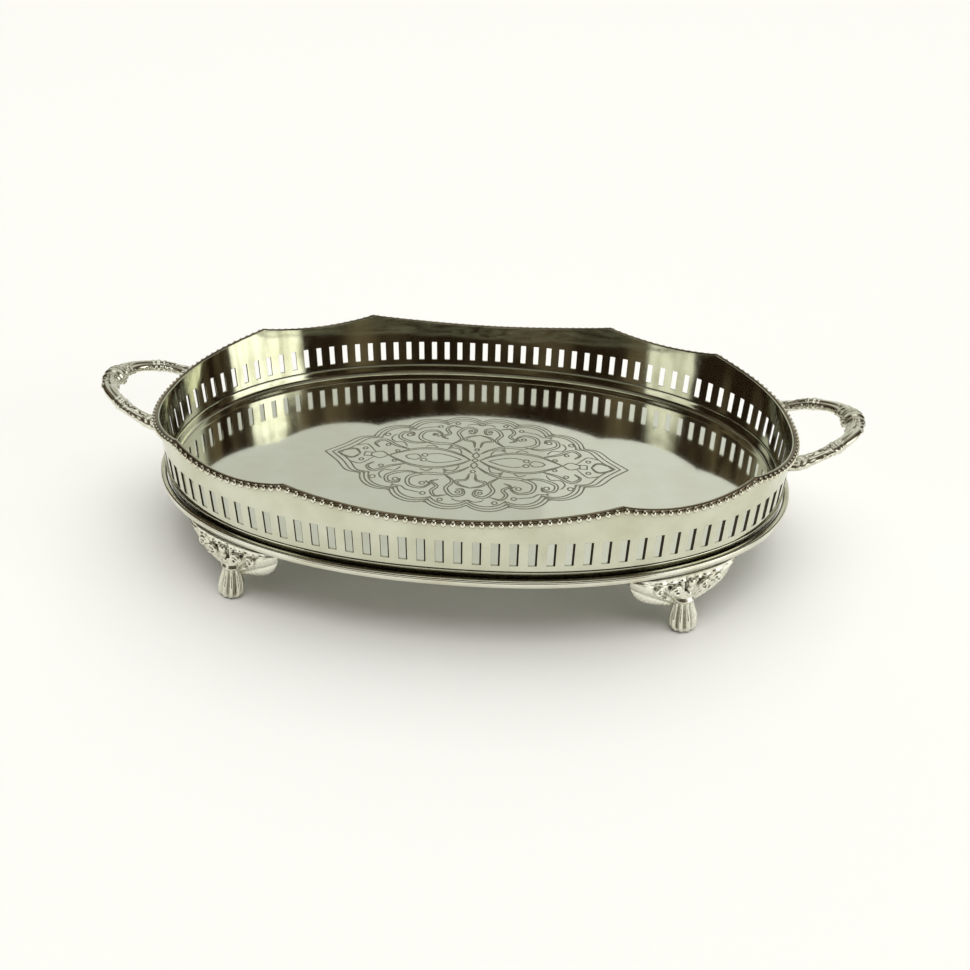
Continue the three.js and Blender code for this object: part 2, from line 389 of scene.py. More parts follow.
def silver(name, colour, tarnish, roughness, wave, scratch, crevices, reach):
    """Polished silver plate: faint tint changes, hand-polishing marks, a soft ripple, and darkening in
    the hollows as far as reach from their sides, partly old polish and tarnish, partly painted shade."""
    nodes = MaterialNodes(name, 1.0)
    cloud = nodes.grain(38, detail=5)
    tint = nodes.ramp(cloud, [(0.3, tarnish), (0.62, colour)])
    marks = nodes.grain(900, detail=3, roughness=0.7, stretch=(0.35, 1, 1))
    specks = nodes.grain(260, detail=6, roughness=0.65)
    rough = nodes.maths(
        "ADD",
        nodes.mapped(marks, 0.45, 0.75, 0.0, 0.05),
        nodes.mapped(specks, 0.3, 0.7, roughness, roughness + 0.035),
    )
    # Painted shade, partly real tarnish: ambient occlusion darkens the colour in the hollows.
    hollow = nodes.add("ShaderNodeAmbientOcclusion", samples=6)
    hollow.inputs["Distance"].default_value = reach
    shade = nodes.mapped(hollow.outputs["AO"], 0.3, 0.9, 1.0, 0.0)
    shade = nodes.maths("MULTIPLY", shade, crevices)
    dark = nodes.ramp(cloud, [(0.2, TARNISH_AND_SHADE_DARK), (0.8, TARNISH_AND_SHADE_LIGHT)])
    tint = nodes.mix(shade, tint, dark)
    rough = nodes.maths("ADD", rough, nodes.maths("MULTIPLY", shade, 0.22))
    nodes.link(tint, nodes.shader.inputs["Base Color"])
    nodes.link(rough, nodes.shader.inputs["Roughness"])
    ripple = nodes.bump(nodes.grain(22, detail=2, roughness=0.4), wave)
    nodes.link(nodes.bump(marks, scratch, before=ripple), nodes.shader.inputs["Normal"])
    return nodes.material


def dull_metal(name, metallic, scale, dark, light, smoothest, roughest):
    """Metal mottled between two colours: unpolished metal in the engraved lines,
    and near-black painted shade on the slots' sides.
    """
    nodes = MaterialNodes(name, metallic)
    grime = nodes.grain(scale)
    nodes.link(nodes.ramp(grime, [(0.3, dark), (0.7, light)]), nodes.shader.inputs["Base Color"])
    nodes.link(nodes.mapped(grime, 0.3, 0.7, smoothest, roughest), nodes.shader.inputs["Roughness"])
    return nodes.material


def make_materials():
    return {
        "pan": silver(
            "polished_pan", (0.82, 0.83, 0.74), (0.77, 0.77, 0.67), 0.045, 0.05 * MM, 0.0003 * MM,
            0.85, 3 * MM,
        ),
        "engraved": dull_metal(
            "engraved_line", 0.55, 700, (0.17, 0.17, 0.12), (0.36, 0.36, 0.28), 0.42, 0.6
        ),
        # Painted shade: a near-black colour for the sides of the slots.
        "slot_shade": dull_metal(
            "slot_side_painted_shade", 0.8, 400, (0.025, 0.019, 0.012), (0.065, 0.052, 0.034), 0.35, 0.5
        ),
        "moulding": silver(
            "reeded_moulding", (0.76, 0.76, 0.65), (0.64, 0.62, 0.48), 0.14, 0.05 * MM,
            0.001 * MM, 0.5, 1.2 * MM,
        ),
        "wall": silver(
            "polished_wall", (0.65, 0.66, 0.53), (0.55, 0.55, 0.41), 0.05, 0.5 * MM, 0.001 * MM,
            0.95, 5 * MM,
        ),
        "bead": silver(
            "beaded_wire", (0.80, 0.79, 0.67), (0.66, 0.63, 0.48), 0.09, 0.05 * MM, 0.001 * MM,
            1.0, 2.5 * MM,
        ),
        # Painted shade, partly real tarnish: a dark brown colour for the edge wires above and between
        # the beads.
        "channel": silver(
            "tarnish_and_shade_wire", (0.26, 0.21, 0.14), (0.13, 0.10, 0.06), 0.2, 0.05 * MM, 0.001 * MM,
            1.0, 2.5 * MM,
        ),
        "feet": silver(
            "cast_feet", (0.90, 0.90, 0.78), (0.76, 0.74, 0.60), 0.24, 0.1 * MM, 0.003 * MM,
            0.8, 2.0 * MM,
        ),
        "cast": silver(
            "cast_ornament", (0.80, 0.80, 0.69), (0.66, 0.64, 0.51), 0.17, 0.1 * MM, 0.003 * MM,
            0.75, 1.8 * MM,
        ),
    }


# ----------------------------------------
# The engraved medallion, in millimetres on the floor
# ----------------------------------------

MEDALLION_CUSPS = [(0, 55), (26, 53), (50, 42), (72, 25)]
MEDALLION_TIP = (101, 0)
MEDALLION_CENTRE = (1.5, -5)
LOBE_RISE = 0.25
LINE_STEP = 2.4
STROKE_SPACING = 0.9


def arc(start, middle, end, count=14):
    """A circular arc through three points."""
    a, b, c = (complex(*p) for p in (start, middle, end))
    w = (c - a) / (b - a)
    centre = (b - a) * (w - abs(w) ** 2) / (2j * w.imag) + a
    first, through_angle, last = (np.angle(p - centre) for p in (a, b, c))
    sweep = (last - first) % (2 * math.pi)
    if (through_angle - first) % (2 * math.pi) > sweep:
        sweep -= 2 * math.pi
    angles = first + sweep * np.linspace(0, 1, count)
    points = centre + abs(a - centre) * np.exp(1j * angles)
    return np.stack([points.real, points.imag], axis=-1)


def medallion_border(inset):
    """A quarter of the lobed border, moved in towards the middle by inset."""
    cusps = [np.array(p, float) for p in MEDALLION_CUSPS]
    cusps = [p * (1 - 1.2 * inset / np.linalg.norm(p)) for p in cusps]
    cusps[0][0] = 0
    quarter = []
    for start, end in zip(cusps, cusps[1:]):
        chord = end - start
        outward = np.array([-chord[1], chord[0]])
        rise = LOBE_RISE * outward + 0.2 * inset * outward / np.linalg.norm(chord)
        quarter.append(arc(start, (start + end) / 2 + rise, end)[:-1])
    tip = np.array([MEDALLION_TIP[0] - 2.1 * inset, 0.0])
    last = cusps[-1]
    ogee = [
        last,
        last + (tip - last) * 0.3 + (1.5, 4.6),
        last + (tip - last) * 0.62 + (0.4, 1.8),
        tip,
    ]
    quarter.append(through(ogee, 1.5))
    return np.vstack(quarter)


def ring(x, y, radius):
    return [
        arc((x - radius, y), (x, y + radius), (x + radius, y), 8),
        arc((x + radius, y), (x, y - radius), (x - radius, y), 8),
    ]


def ribbon(points, width):
    """Two lines that part and meet again like a long leaf, round a smooth curve."""
    line = through(points, STROKE_SPACING)
    swelling = width / 2 * np.sin(math.pi * np.linspace(0, 1, len(line))) ** 0.7
    half = sideways(line) * swelling[:, None]
    return [line + half, line - half]


def medallion_strokes():
    """A quarter of the pattern; the rest is its mirror image both ways."""
    ribbons = [
        ([(3, 0), (11, 6.8), (25, 12.4), (40, 11), (51, 5), (58, 0)], 1.7),
        (
            [(3, 9), (9, 15), (19, 20), (31, 20.5), (40, 26), (39, 35), (31, 38), (26, 33), (29, 29.6)],
            2.6,
        ),
        ([(18, 20), (12, 28), (15, 37), (10, 45), (3.6, 43), (4.4, 37), (8.6, 37.4)], 2.2),
        ([(33, 21), (44, 19.4), (54, 25), (53, 32.6), (46.4, 33), (45.4, 28.6)], 2.2),
        ([(45, 9.6), (55, 14), (64, 20.6), (69.6, 15.4), (66, 10)], 2.0),
        ([(2, 18), (3.4, 25), (9.4, 27.4), (7, 32), (0, 35)], 1.6),
        ([(21, 27), (25.4, 30), (21, 35), (23.6, 41), (20.6, 46.6), (14.6, 45)], 1.9),
        ([(77, 0), (80.6, 5.4), (86, 4.8), (92.4, 0)], 1.2),
    ]
    lines = [
        [(34, 43), (40, 41), (43.4, 37.6), (48, 37)],
        [(9, 0), (17, 4), (25, 6), (31.4, 4.6)],
        [(58, 0), (63, 4.4), (69, 2)],
        [(48, 15), (51, 19), (57, 19), (60, 24), (58, 29)],
        [(71, 9), (75, 13), (81, 11)],
        [(0, 49), (4.6, 51), (9, 49.6)],
        [(0, 2.6), (2.1, 6.2), (0, 11)],
        [(36, 0), (39, 3.4), (44, 2.6), (46.6, 0)],
        [(10, 9.6), (12, 14), (16.4, 15)],
        [(27, 14.6), (30, 17), (34, 15.6)],
    ]
    strokes = [stroke for points, width in ribbons for stroke in ribbon(points, width)]
    strokes.extend(through(points, STROKE_SPACING) for points in lines)
    for x, y, radius in [
        (30.8, 32.4, 1.7), (7.0, 40.4, 1.4), (48.4, 29.6, 1.8), (60.6, 14.0, 1.5), (34, 3.2, 1.9),
        (17.0, 50.6, 1.6), (63.6, 28.4, 1.9), (28.6, 44.4, 1.6), (75.0, 7.4, 1.5), (53.0, 6.6, 1.4),
        (0, 0, 1.8), (0, 14.4, 1.5),
    ]:
        strokes.extend(ring(x, y, radius))
    square = [(69.4, 0), (69.4, 2.4), (74.2, 2.4), (74.2, 0)]
    strokes.extend(through([a, b], STROKE_SPACING) for a, b in zip(square, square[1:]))
    strokes.extend(medallion_border(step * LINE_STEP) for step in range(3))
    return strokes


def all_strokes():
    mirrors = [(1, 1), (-1, 1), (1, -1), (-1, -1)]
    centre = np.array(MEDALLION_CENTRE)
    return [(stroke * mirror + centre) * MM for stroke in medallion_strokes() for mirror in mirrors]


ENGRAVED_WIDTH = 1.1 * MM
ENGRAVED_DEPTH = 0.34 * MM
GROOVE_CENTRE_SPACING = 0.12 * MM
CUT_WELD = 0.02 * MM


def pan_finishes(mesh):
    """Gives the engraved grooves their own, darker finish, and the cove and seat the wall's."""
    for face in mesh.polygons:
        lowest = min(mesh.vertices[i].co.z for i in face.vertices)
        near_floor = abs(lowest - FLOOR_TOP) < 1.5 * ENGRAVED_DEPTH
        if near_floor and lowest < FLOOR_TOP - 0.05 * ENGRAVED_DEPTH:
            face.material_index = 1
        elif lowest > FLOOR_TOP + ENGRAVED_DEPTH:
            face.material_index = 2


def engraved_floor(border):
    """The floor's top as triangles, cut by a V-shaped groove along each stroke."""
    points, edges = [Vector(p) for p in border], []
    count = len(points)
    edges.extend((i, (i + 1) % count) for i in range(count))
    centres = []
    for stroke in all_strokes():
        side = sideways(stroke)
        for offset in (-0.5, 0, 0.5):
            start = len(points)
            points.extend(Vector(p) for p in stroke + side * offset * ENGRAVED_WIDTH)
            edges.extend((i, i + 1) for i in range(start, len(points) - 1))
        for a, b in zip(stroke, stroke[1:]):
            pieces = max(1, int(np.linalg.norm(b - a) / GROOVE_CENTRE_SPACING))
            centres.extend(a + (b - a) * i / pieces for i in range(pieces))
        centres.append(stroke[-1])
    flat, _, faces, _, _, _ = delaunay_2d_cdt(points, edges, [], 0, CUT_WELD)
    tree = kdtree.KDTree(len(centres))
    for i, (x, y) in enumerate(centres):
        tree.insert((x, y, 0), i)
    tree.balance()
    vertices = []
    for p in flat:
        distance = tree.find((p.x, p.y, 0))[2]
        cut = max(0.0, 1 - distance / (0.47 * ENGRAVED_WIDTH))
        vertices.append((p.x, p.y, FLOOR_TOP - ENGRAVED_DEPTH * cut))
    return np.array(vertices), faces


# ----------------------------------------
# The pan and its wire
# ----------------------------------------

PAN_STEPS = 432
PAN_WELD = 0.004 * MM
BASE_WIRE_FULLNESS = 1.08
BASE_WIRE_SQUARENESS = 0.62
BASE_WIRE_OUT = 2.7 * MM
REED_DEPTH, REED_PLACE, REED_WIDTH = 0.11, 0.36, 0.1


def pan_border():
    """The section from the floor's edge up the cove, over the seat, down the skirt and back."""
    top = [
        (-8, FLOOR_TOP / MM),
        (-4.0, FLOOR_TOP / MM),
        (-2.9, FLOOR_TOP / MM + 0.3),
        (-2.6, FLOOR_TOP / MM + 1.6),
        (-2.4, SEAT / MM - 0.9),
        (-2.2, SEAT / MM - 0.1),
        (-1.5, SEAT / MM),
        (0.1, SEAT / MM),
        (0.55, SEAT / MM - 0.2),
        (0.5, SEAT / MM - 1.2),
        (0.1, SEAT / MM - 2.6),
        (0.1, SEAT / MM - 4.5),
        (0.1, PAN_BOTTOM / MM + 0.2),
        (-1.1, PAN_BOTTOM / MM + 0.2),
        (-1.1, SEAT / MM - 1.2),
        (-1.6, SEAT / MM - 1.6),
        (-1.9, PAN_BOTTOM / MM + 4),
        (-4.0, PAN_BOTTOM / MM + 1.1),
        (-6.4, PAN_BOTTOM / MM),
        (-8, PAN_BOTTOM / MM),
    ]
    return rounded(np.array(top) * MM, 2)


def make_pan(material, engraved, cove):
    section = pan_border()
    turn = np.arange(PAN_STEPS)[:, None] / PAN_STEPS
    border = beside_oval(turn, section[None, :, 0], section[None, :, 1])
    faces = grid_faces(PAN_STEPS, len(section), wrap_rows=True)
    # Walking the section from the inside over the top turns its faces inwards, so they are flipped.
    rim = (border, faces[:, ::-1])
    floor = engraved_floor(border[:, 0, :2])
    underside = (border[:, -1, :], [list(range(PAN_STEPS))])
    pan = mesh_object("base_pan_engraved", [rim, floor, underside], sharp_angle=24, weld=PAN_WELD)
    finish_piece(pan, ["tray_base_pan"], material)
    pan.data.materials.append(engraved)
    pan.data.materials.append(cove)
    pan_finishes(pan.data)


def make_base_wire(material):
    """A reeded moulding: a band with a rounded face and two fine grooves run along it."""
    half_height = (BASE_WIRE_HIGH.z - BASE_WIRE_LOW.z) / 2 * BASE_WIRE_FULLNESS
    half_width = 0.8 * half_height
    middle = (BASE_WIRE_HIGH.z + BASE_WIRE_LOW.z) / 2
    angle = np.linspace(0, 2 * math.pi, 72, endpoint=False)
    across, along = np.cos(angle), np.sin(angle)
    grooves = 1 - REED_DEPTH * swell(np.abs(along), REED_PLACE, REED_WIDTH) * (across > 0)
    out = half_width * np.sign(across) * np.abs(across) ** BASE_WIRE_SQUARENESS * grooves
    up = middle + half_height * np.sign(along) * np.abs(along) ** BASE_WIRE_SQUARENESS
    turn = np.arange(PAN_STEPS)[:, None] / PAN_STEPS
    shell = (beside_oval(turn, BASE_WIRE_OUT + out, up), grid_faces(PAN_STEPS, len(angle), True, True))
    wire = mesh_object("base_edge_moulding", [shell], sharp_angle=50)
    finish_piece(wire, ["base_edge_wire"], material)


# ----------------------------------------
# The pierced wall and its beaded edge
# ----------------------------------------

def pierced_sheet(outer, inner, present):
    """A sheet between two grids of points, with holes where present is false."""
    rows, columns = present.shape
    width = columns + 1
    count = (rows + 1) * width
    faces = []
    for r in range(rows):
        for c in range(columns):
            if not present[r, c]:
                continue
            a, b = r * width + c, r * width + c + 1
            d, e = a + width, b + width
            faces.append([a, b, e, d])
            faces.append([count + d, count + e, count + b, count + a])
            sides = [
                (r == 0 or not present[r - 1, c], b, a),
                (r == rows - 1 or not present[r + 1, c], d, e),
                (c == 0 or not present[r, c - 1], a, d),
                (c == columns - 1 or not present[r, c + 1], e, b),
            ]
            faces.extend([p, q, count + q, count + p] for open_side, p, q in sides if open_side)
    return np.concatenate([outer.reshape(-1, 3), inner.reshape(-1, 3)]), faces


# The punch leaves one side of every slot slanting inwards by this much.
SLOT_DRAFT = 1.05 * MM
SEAM_HALF_GAP = 0.15 * MM
WALL_BEVEL = 0.12 * MM


def wall_columns():
    """Column places along half the wall, in slots, and which columns are a slot's."""
    half_slot = SLOT_WIDTH / SLOT_PITCH / 2
    seam = SEAM_HALF_GAP / SLOT_PITCH
    places, open_column = [seam], []
    for slot in range(SLOT_COUNT // 2):
        middle = slot + 0.5
        for share in (0.5, 1.0):
            places.append(places[-1] * (1 - share) + (middle - half_slot) * share)
            open_column.append(False)
        for place in (middle, middle + half_slot):
            places.append(place)
            open_column.append(True)
    end = SLOT_COUNT / 2 - seam
    for share in (0.5, 1.0):
        places.append(places[-1] * (1 - share) + end * share)
        open_column.append(False)
    return np.array(places), np.array(open_column)


def shade_slot_sides(mesh):
    """Gives the faces that run through the sheet at the sides of the slots a near-black painted shade.
    """
    outer_points = len(mesh.vertices) // 2
    middle = SLOT_BOTTOM + SLOT_HEIGHT / 2
    for face in mesh.polygons:
        runs_through = min(face.vertices) < outer_points <= max(face.vertices)
        if runs_through and abs(face.center.z - middle) < SLOT_HEIGHT / 4:
            face.material_index = 1


def make_wall(name, node, first_turn, material, slot_shade):
    places, open_column = wall_columns()
    turn = (first_turn + places / SLOT_COUNT)[None, :]
    slot_ends = np.append(False, open_column) & ~np.append(open_column, False)
    inner_turn = turn - np.where(slot_ends, SLOT_DRAFT / PERIMETER, 0)[None, :]
    edge = edge_height(turn)
    slot_top = SLOT_BOTTOM + SLOT_HEIGHT
    levels = [WALL_FOOT, SLOT_BOTTOM, slot_top]
    shares = np.array([0.35, 0.7, 0.9, 1.0])[:, None]
    up = np.concatenate(
        [np.full((1, turn.size), level) for level in levels] + [slot_top + shares * (edge - slot_top)]
    )
    present = np.ones((up.shape[0] - 1, len(open_column)), bool)
    present[1, open_column] = False
    outer = beside_oval(turn, lean_at(up), up)
    inner = beside_oval(inner_turn, lean_at(up) - WALL_THICKNESS, up)
    wall = mesh_object(name, [pierced_sheet(outer, inner, present)], sharp_angle=35)
    bevel = wall.modifiers.new("worn_edges", "BEVEL")
    bevel.width = WALL_BEVEL
    bevel.segments = 2
    bevel.limit_method = "ANGLE"
    bevel.angle_limit = math.radians(50)
    finish_piece(wall, [node], material)
    wall.data.materials.append(slot_shade)
    shade_slot_sides(wall.data)


BEADS_PER_SLOT = 2
BEAD_RADIUS = 1.9 * MM
BEAD_DROP = 1.45 * MM
BEAD_OUT = 1.75 * MM
# Half axes along the edge, outwards and up, as shares of the radius.
BEAD_SHAPE = (0.9, 0.85, 1.0)
# Each wire's distance outwards, drop below the edge, and radius.
EDGE_WIRES = [(0.3 * MM, 0.4 * MM, 1.0 * MM), (1.0 * MM, BEAD_DROP, 0.85 * MM)]


def edge_wire(first_turn, out, drop, radius):
    """A round wire along half the top edge."""
    turn = first_turn + np.linspace(0.0002, 0.4998, 650)[:, None]
    angle = np.linspace(0, 2 * math.pi, 12, endpoint=False)[None, :]
    height = edge_height(turn) - drop + radius * np.sin(angle)
    rings = beside_oval(turn, out + lean_at(height) + radius * np.cos(angle), height)
    return tube(np.zeros((len(turn), 3)), rings)


def make_beads(name, node, first_turn, material, channel):
    """Half the edge's trim: a round wire coloured dark, partly tarnish and partly painted shade,
    with a row of bright beads under it outside.
    """
    beads = SLOT_COUNT // 2 * BEADS_PER_SLOT
    turn = first_turn + (np.arange(beads) + 0.5) / (2 * beads)
    step = 0.1 / SLOT_COUNT
    out = BEAD_OUT + lean_at(edge_height(turn))
    centre = beside_oval(turn, out, edge_height(turn) - BEAD_DROP)
    ahead = beside_oval(turn + step, out, edge_height(turn + step) - BEAD_DROP)
    outward = beside_oval(turn, out + MM, edge_height(turn) - BEAD_DROP) - centre
    shells = [edge_wire(first_turn, *wire) for wire in EDGE_WIRES]
    dark_wire_faces = sum(len(faces) for _, faces in shells)
    sizes = np.array(BEAD_SHAPE)[:, None] * BEAD_RADIUS
    for middle, along, side in zip(centre, unit(ahead - centre), unit(outward)):
        axes = np.array([along, side, np.cross(along, side)])
        shells.append(ellipsoid(middle, axes * sizes, 16, 10))
    wire = mesh_object(name, shells, sharp_angle=80)
    finish_piece(wire, [node], material)
    wire.data.materials.append(channel)
    for face in wire.data.polygons[:dark_wire_faces]:
        face.material_index = 1


# ----------------------------------------
# The cast handles
# ----------------------------------------

BAR_HALF_WIDTH = 4.1 * MM
BAR_HALF_HEIGHT = 3.3 * MM
# The bar starts this far inside the oval's end, and the wall cuts it off this far from its start.
BAR_START_INSIDE = 10 * MM
BAR_CUT_OFF = 5 * MM
BAR_STEPS = 520
COLLAR_SHARE = 0.55
HANDLE_VOXEL = 0.26 * MM
# The cutter that trims the roots is the wall's outer face, this far out and this much taller.
TRIM_GAP = 0.05 * MM
TRIM_REACH = 20 * MM
CROWN = Vector((HANDLE_HIGH.x - 6.5 * MM, 0, HANDLE_HIGH.z - 6.3 * MM))
ROOT = Vector((OVAL_HALF_LENGTH, HANDLE_HIGH.y - 7.7 * MM, HANDLE_LOW.z + 4.8 * MM))


def handle_line():
    """The middle line of the right-hand handle, from its front root to its back root."""
    reach = CROWN.x - ROOT.x
    rise = CROWN.z - ROOT.z
    stations = [
        (-BAR_START_INSIDE / reach, 1, -0.02),
        (0.05, 0.97, 0.06),
        (0.5, 0.82, 0.56),
        (0.84, 0.53, 0.86),
        (0.98, 0.22, 0.97),
    ]
    side = [
        np.array([ROOT.x + out * reach, across * ROOT.y, ROOT.z + up * rise])
        for out, across, up in stations
    ]
    front = [p * (1, -1, 1) for p in side]
    line = through([*front, np.array(CROWN), *side[::-1]], 0.4 * MM)
    lengths = np.concatenate([[0], np.cumsum(np.linalg.norm(np.diff(line, axis=0), axis=1))])
    even = np.linspace(0, lengths[-1], BAR_STEPS)
    return np.stack([np.interp(even, lengths, line[:, i]) for i in range(3)], axis=-1), lengths[-1]


HANDLE_LINE, HANDLE_LENGTH = handle_line()
HANDLE_TANGENTS = np.gradient(HANDLE_LINE, axis=0)
HANDLE_PLANE = np.array(Vector((-(CROWN.z - ROOT.z), 0, CROWN.x - ROOT.x)).normalized())
# Distances from the crown along the bar, in millimetres.
ROOT_DISTANCE = (HANDLE_LENGTH / 2 - BAR_CUT_OFF) / MM
COLLAR_DISTANCE = COLLAR_SHARE * ROOT_DISTANCE


def along_table(table, index):
    rows = np.arange(len(table))
    return np.stack([np.interp(index, rows, table[:, i]) for i in range(3)], axis=-1)


def bar_frame(place):
    """At a share of the handle's length: the point, the way out of the loop, up, and along."""
    index = np.clip(place, 0, 1) * (len(HANDLE_LINE) - 1)
    tangent = unit(along_table(HANDLE_TANGENTS, index))
    up = unit(HANDLE_PLANE - tangent * (tangent @ HANDLE_PLANE)[..., None])
    return along_table(HANDLE_LINE, index), np.cross(tangent, up), up, tangent


def bar_size(distance, angle):
    """The bar's half thickness towards an angle, at a distance from the crown in millimetres.

    Smooth strap-like arms with a soft ridge, a clasp of four ribbed rings round the crown, a
    collar on each arm and a ribbed leaf that spreads over the wall at each root."""
    at_root = swell(distance, ROOT_DISTANCE, 9)
    width = BAR_HALF_WIDTH / MM + 0.9 * swell(distance, 14, 9) + 1.6 * at_root
    height = BAR_HALF_HEIGHT / MM + 0.2 * at_root
    oval = 1 / np.sqrt((np.cos(angle) / width) ** 2 + (np.sin(angle) / height) ** 2)
    ridge = 0.4 * np.exp(-(((angle - math.pi / 2) / 0.22) ** 2))
    ridge = ridge - 0.22 * np.exp(-(((np.abs(angle - math.pi / 2) - 0.55) / 0.16) ** 2))
    size = oval + ridge * (1 - swell(distance, 0, 9))
    clasp = swell(distance, 0, 7.5) ** 1.5
    flutes = 0.2 * np.abs(np.cos(3 * angle)) ** 0.6
    size = size + clasp * (1.8 + flutes) + 1.0 * swell(distance, 6.2, 1.2)
    size = size + 0.7 * swell(distance, 2.3, 1.1)
    for offset, height, width in ((0, 0.9, 1.6), (-3.4, 0.5, 0.8), (3.4, 0.5, 0.8)):
        size = size + height * swell(distance, COLLAR_DISTANCE + offset, width)
    leaf = swell(distance, ROOT_DISTANCE - 2, 9)
    return size + leaf * (0.25 + 0.45 * np.abs(np.cos(3.5 * angle)) ** 0.7)


def handle_bar():
    place = np.linspace(0, 1, BAR_STEPS)
    angle = np.linspace(-math.pi / 2, 3 * math.pi / 2, 88, endpoint=False)
    point, outward, up, _ = bar_frame(place)
    distance = np.abs(place - 0.5)[:, None] * HANDLE_LENGTH / MM
    size = bar_size(distance, angle[None, :])[..., None] * MM
    offsets = size * (
        np.cos(angle)[None, :, None] * outward[:, None, :]
        + np.sin(angle)[None, :, None] * up[:, None, :]
    )
    return tube(point, offsets)


def leaf_grid(lobes, rows=44, columns=25):
    """An acanthus leaf as shares: along 0..1, across -1..1 with a scalloped width, and relief."""
    along = np.linspace(0, 1, rows)[:, None]
    across = np.linspace(-1, 1, columns)[None, :]
    body = np.sin(math.pi * along ** 0.8) ** 0.8
    scallop = 0.72 + 0.28 * np.abs(np.sin(math.pi * lobes * along))
    veins = np.cos(2 * math.pi * (lobes * along - 0.7 * np.abs(across)))
    relief = 0.62 * (1 - across ** 2) + 0.25 * veins * np.abs(across) ** 0.6
    relief = relief - 0.4 * np.exp(-((across / 0.13) ** 2))
    fade = np.minimum(1, 6 * (1 - along)) * np.minimum(1, 8 * along + 0.3)
    return np.broadcast_arrays(along, across * body * scallop, relief * fade)


def bar_leaf(start, length, width, angle, lift, curl, lobes=4):
    """A leaf laid on the bar. It starts at a distance from the crown, in millimetres, and has a
    signed length along the bar and an angle round it."""
    along, across, relief = leaf_grid(lobes)
    place = 0.5 + (start + along * length) * MM / HANDLE_LENGTH
    point, outward, up, _ = bar_frame(place)
    turn = angle + across * width / 4.2
    distance = np.abs(place - 0.5) * HANDLE_LENGTH / MM
    under = bar_size(distance, turn) - 1.0
    over = under + 1.0 + lift * relief + curl * np.clip(along - 0.55, 0, 1) ** 2
    direction = np.cos(turn)[..., None] * outward + np.sin(turn)[..., None] * up
    present = np.ones((over.shape[0] - 1, over.shape[1] - 1), bool)
    return pierced_sheet(
        point + over[..., None] * MM * direction, point + under[..., None] * MM * direction, present
    )


TOP, UNDER, OUTSIDE, INSIDE = math.pi / 2, -math.pi / 2, 0.0, math.pi


def handle_ornament():
    shells = []
    for sign in (-1, 1):
        for angle, width in ((TOP, 3.4), (INSIDE, 3.0), (OUTSIDE, 3.0)):
            shells.append(bar_leaf(sign * 6.5, sign * 11, width, angle, 1.0, 1.5, 3))
        for angle in (TOP, INSIDE, OUTSIDE):
            shells.append(bar_leaf(sign * (COLLAR_DISTANCE + 3), sign * 9, 2.6, angle, 0.9, 1.2, 3))
        for angle in (INSIDE, UNDER):
            shells.append(bar_leaf(sign * (COLLAR_DISTANCE - 3), sign * -9, 2.4, angle, 0.9, 1.2, 3))
        for angle, width in ((TOP, 4.6), (OUTSIDE, 3.4), (INSIDE, 3.4)):
            shells.append(bar_leaf(sign * (ROOT_DISTANCE - 1), sign * -15, width, angle, 0.8, 0.9, 3))
    point, outward, up, tangent = bar_frame(np.array([0.5]))
    berries = [(0, 0)] + [(2.6, turn) for turn in np.linspace(0, 2 * math.pi, 6, endpoint=False)]
    for reach, turn in berries:
        middle = point[0] - outward[0] * 6.1 * MM
        middle = middle + reach * MM * (math.cos(turn) * tangent[0] + math.sin(turn) * up[0])
        shells.append(ellipsoid(middle, np.diag([1, 1, 1]) * 1.35 * MM, 12, 8))
    return shells


def trim_to_wall(piece):
    """Cuts the handle's roots off at the wall's outer face."""
    turn = np.linspace(0, 1, 240, endpoint=False)
    ends = np.array([[WALL_FOOT - TRIM_REACH], [EDGE_PEAK + TRIM_REACH]])
    rings = beside_oval(turn, lean_at(ends) + TRIM_GAP, ends)
    cutter = mesh_object("wall_cutter", [tube(np.zeros((2, 3)), rings)])
    cut = piece.modifiers.new("trim", "BOOLEAN")
    cut.operation = "DIFFERENCE"
    cut.object = cutter
    cut.solver = "EXACT"
    bake_modifiers(piece)
    bpy.data.objects.remove(cutter)
    smooth(piece.data, 60)


def make_handles(material):
    casting = mesh_object("handle_casting_right", [handle_bar(), *handle_ornament()])
    fuse(casting, HANDLE_VOXEL)
    trim_to_wall(casting)
    other = placed("handle_casting_left", casting.data.copy())
    other.data.transform(Matrix.Rotation(math.pi, 4, "Z"))
    finish_piece(casting, ["handle_right"], material)
    finish_piece(other, ["handle_left"], material)


# ----------------------------------------
# The cast feet, in their own frame: +X along the oval, +Y outwards, under the wall's foot
# ----------------------------------------

SHIELD_HALF_WIDTH = 35 * MM
SHIELD_DROP = 21 * MM
SHIELD_FINGERS = 11
SHIELD_OUT = -4.2 * MM
SHIELD_BOW = 10 * MM
SHIELD_THICKNESS = 1.8 * MM
FINGER_RELIEF = 1.5
FOOT_VOXEL = 0.27 * MM
LEG_FLUTES = 5
FLUTE_DEPTH = 0.48
LEG_TOP = 27 * MM
FOOT_TURNS = {"back_right": 0.125, "back_left": 0.375, "front_left": 0.625, "front_right": 0.875}
FOOT_TOP = FOOT_HIGH.z - 0.05 * MM


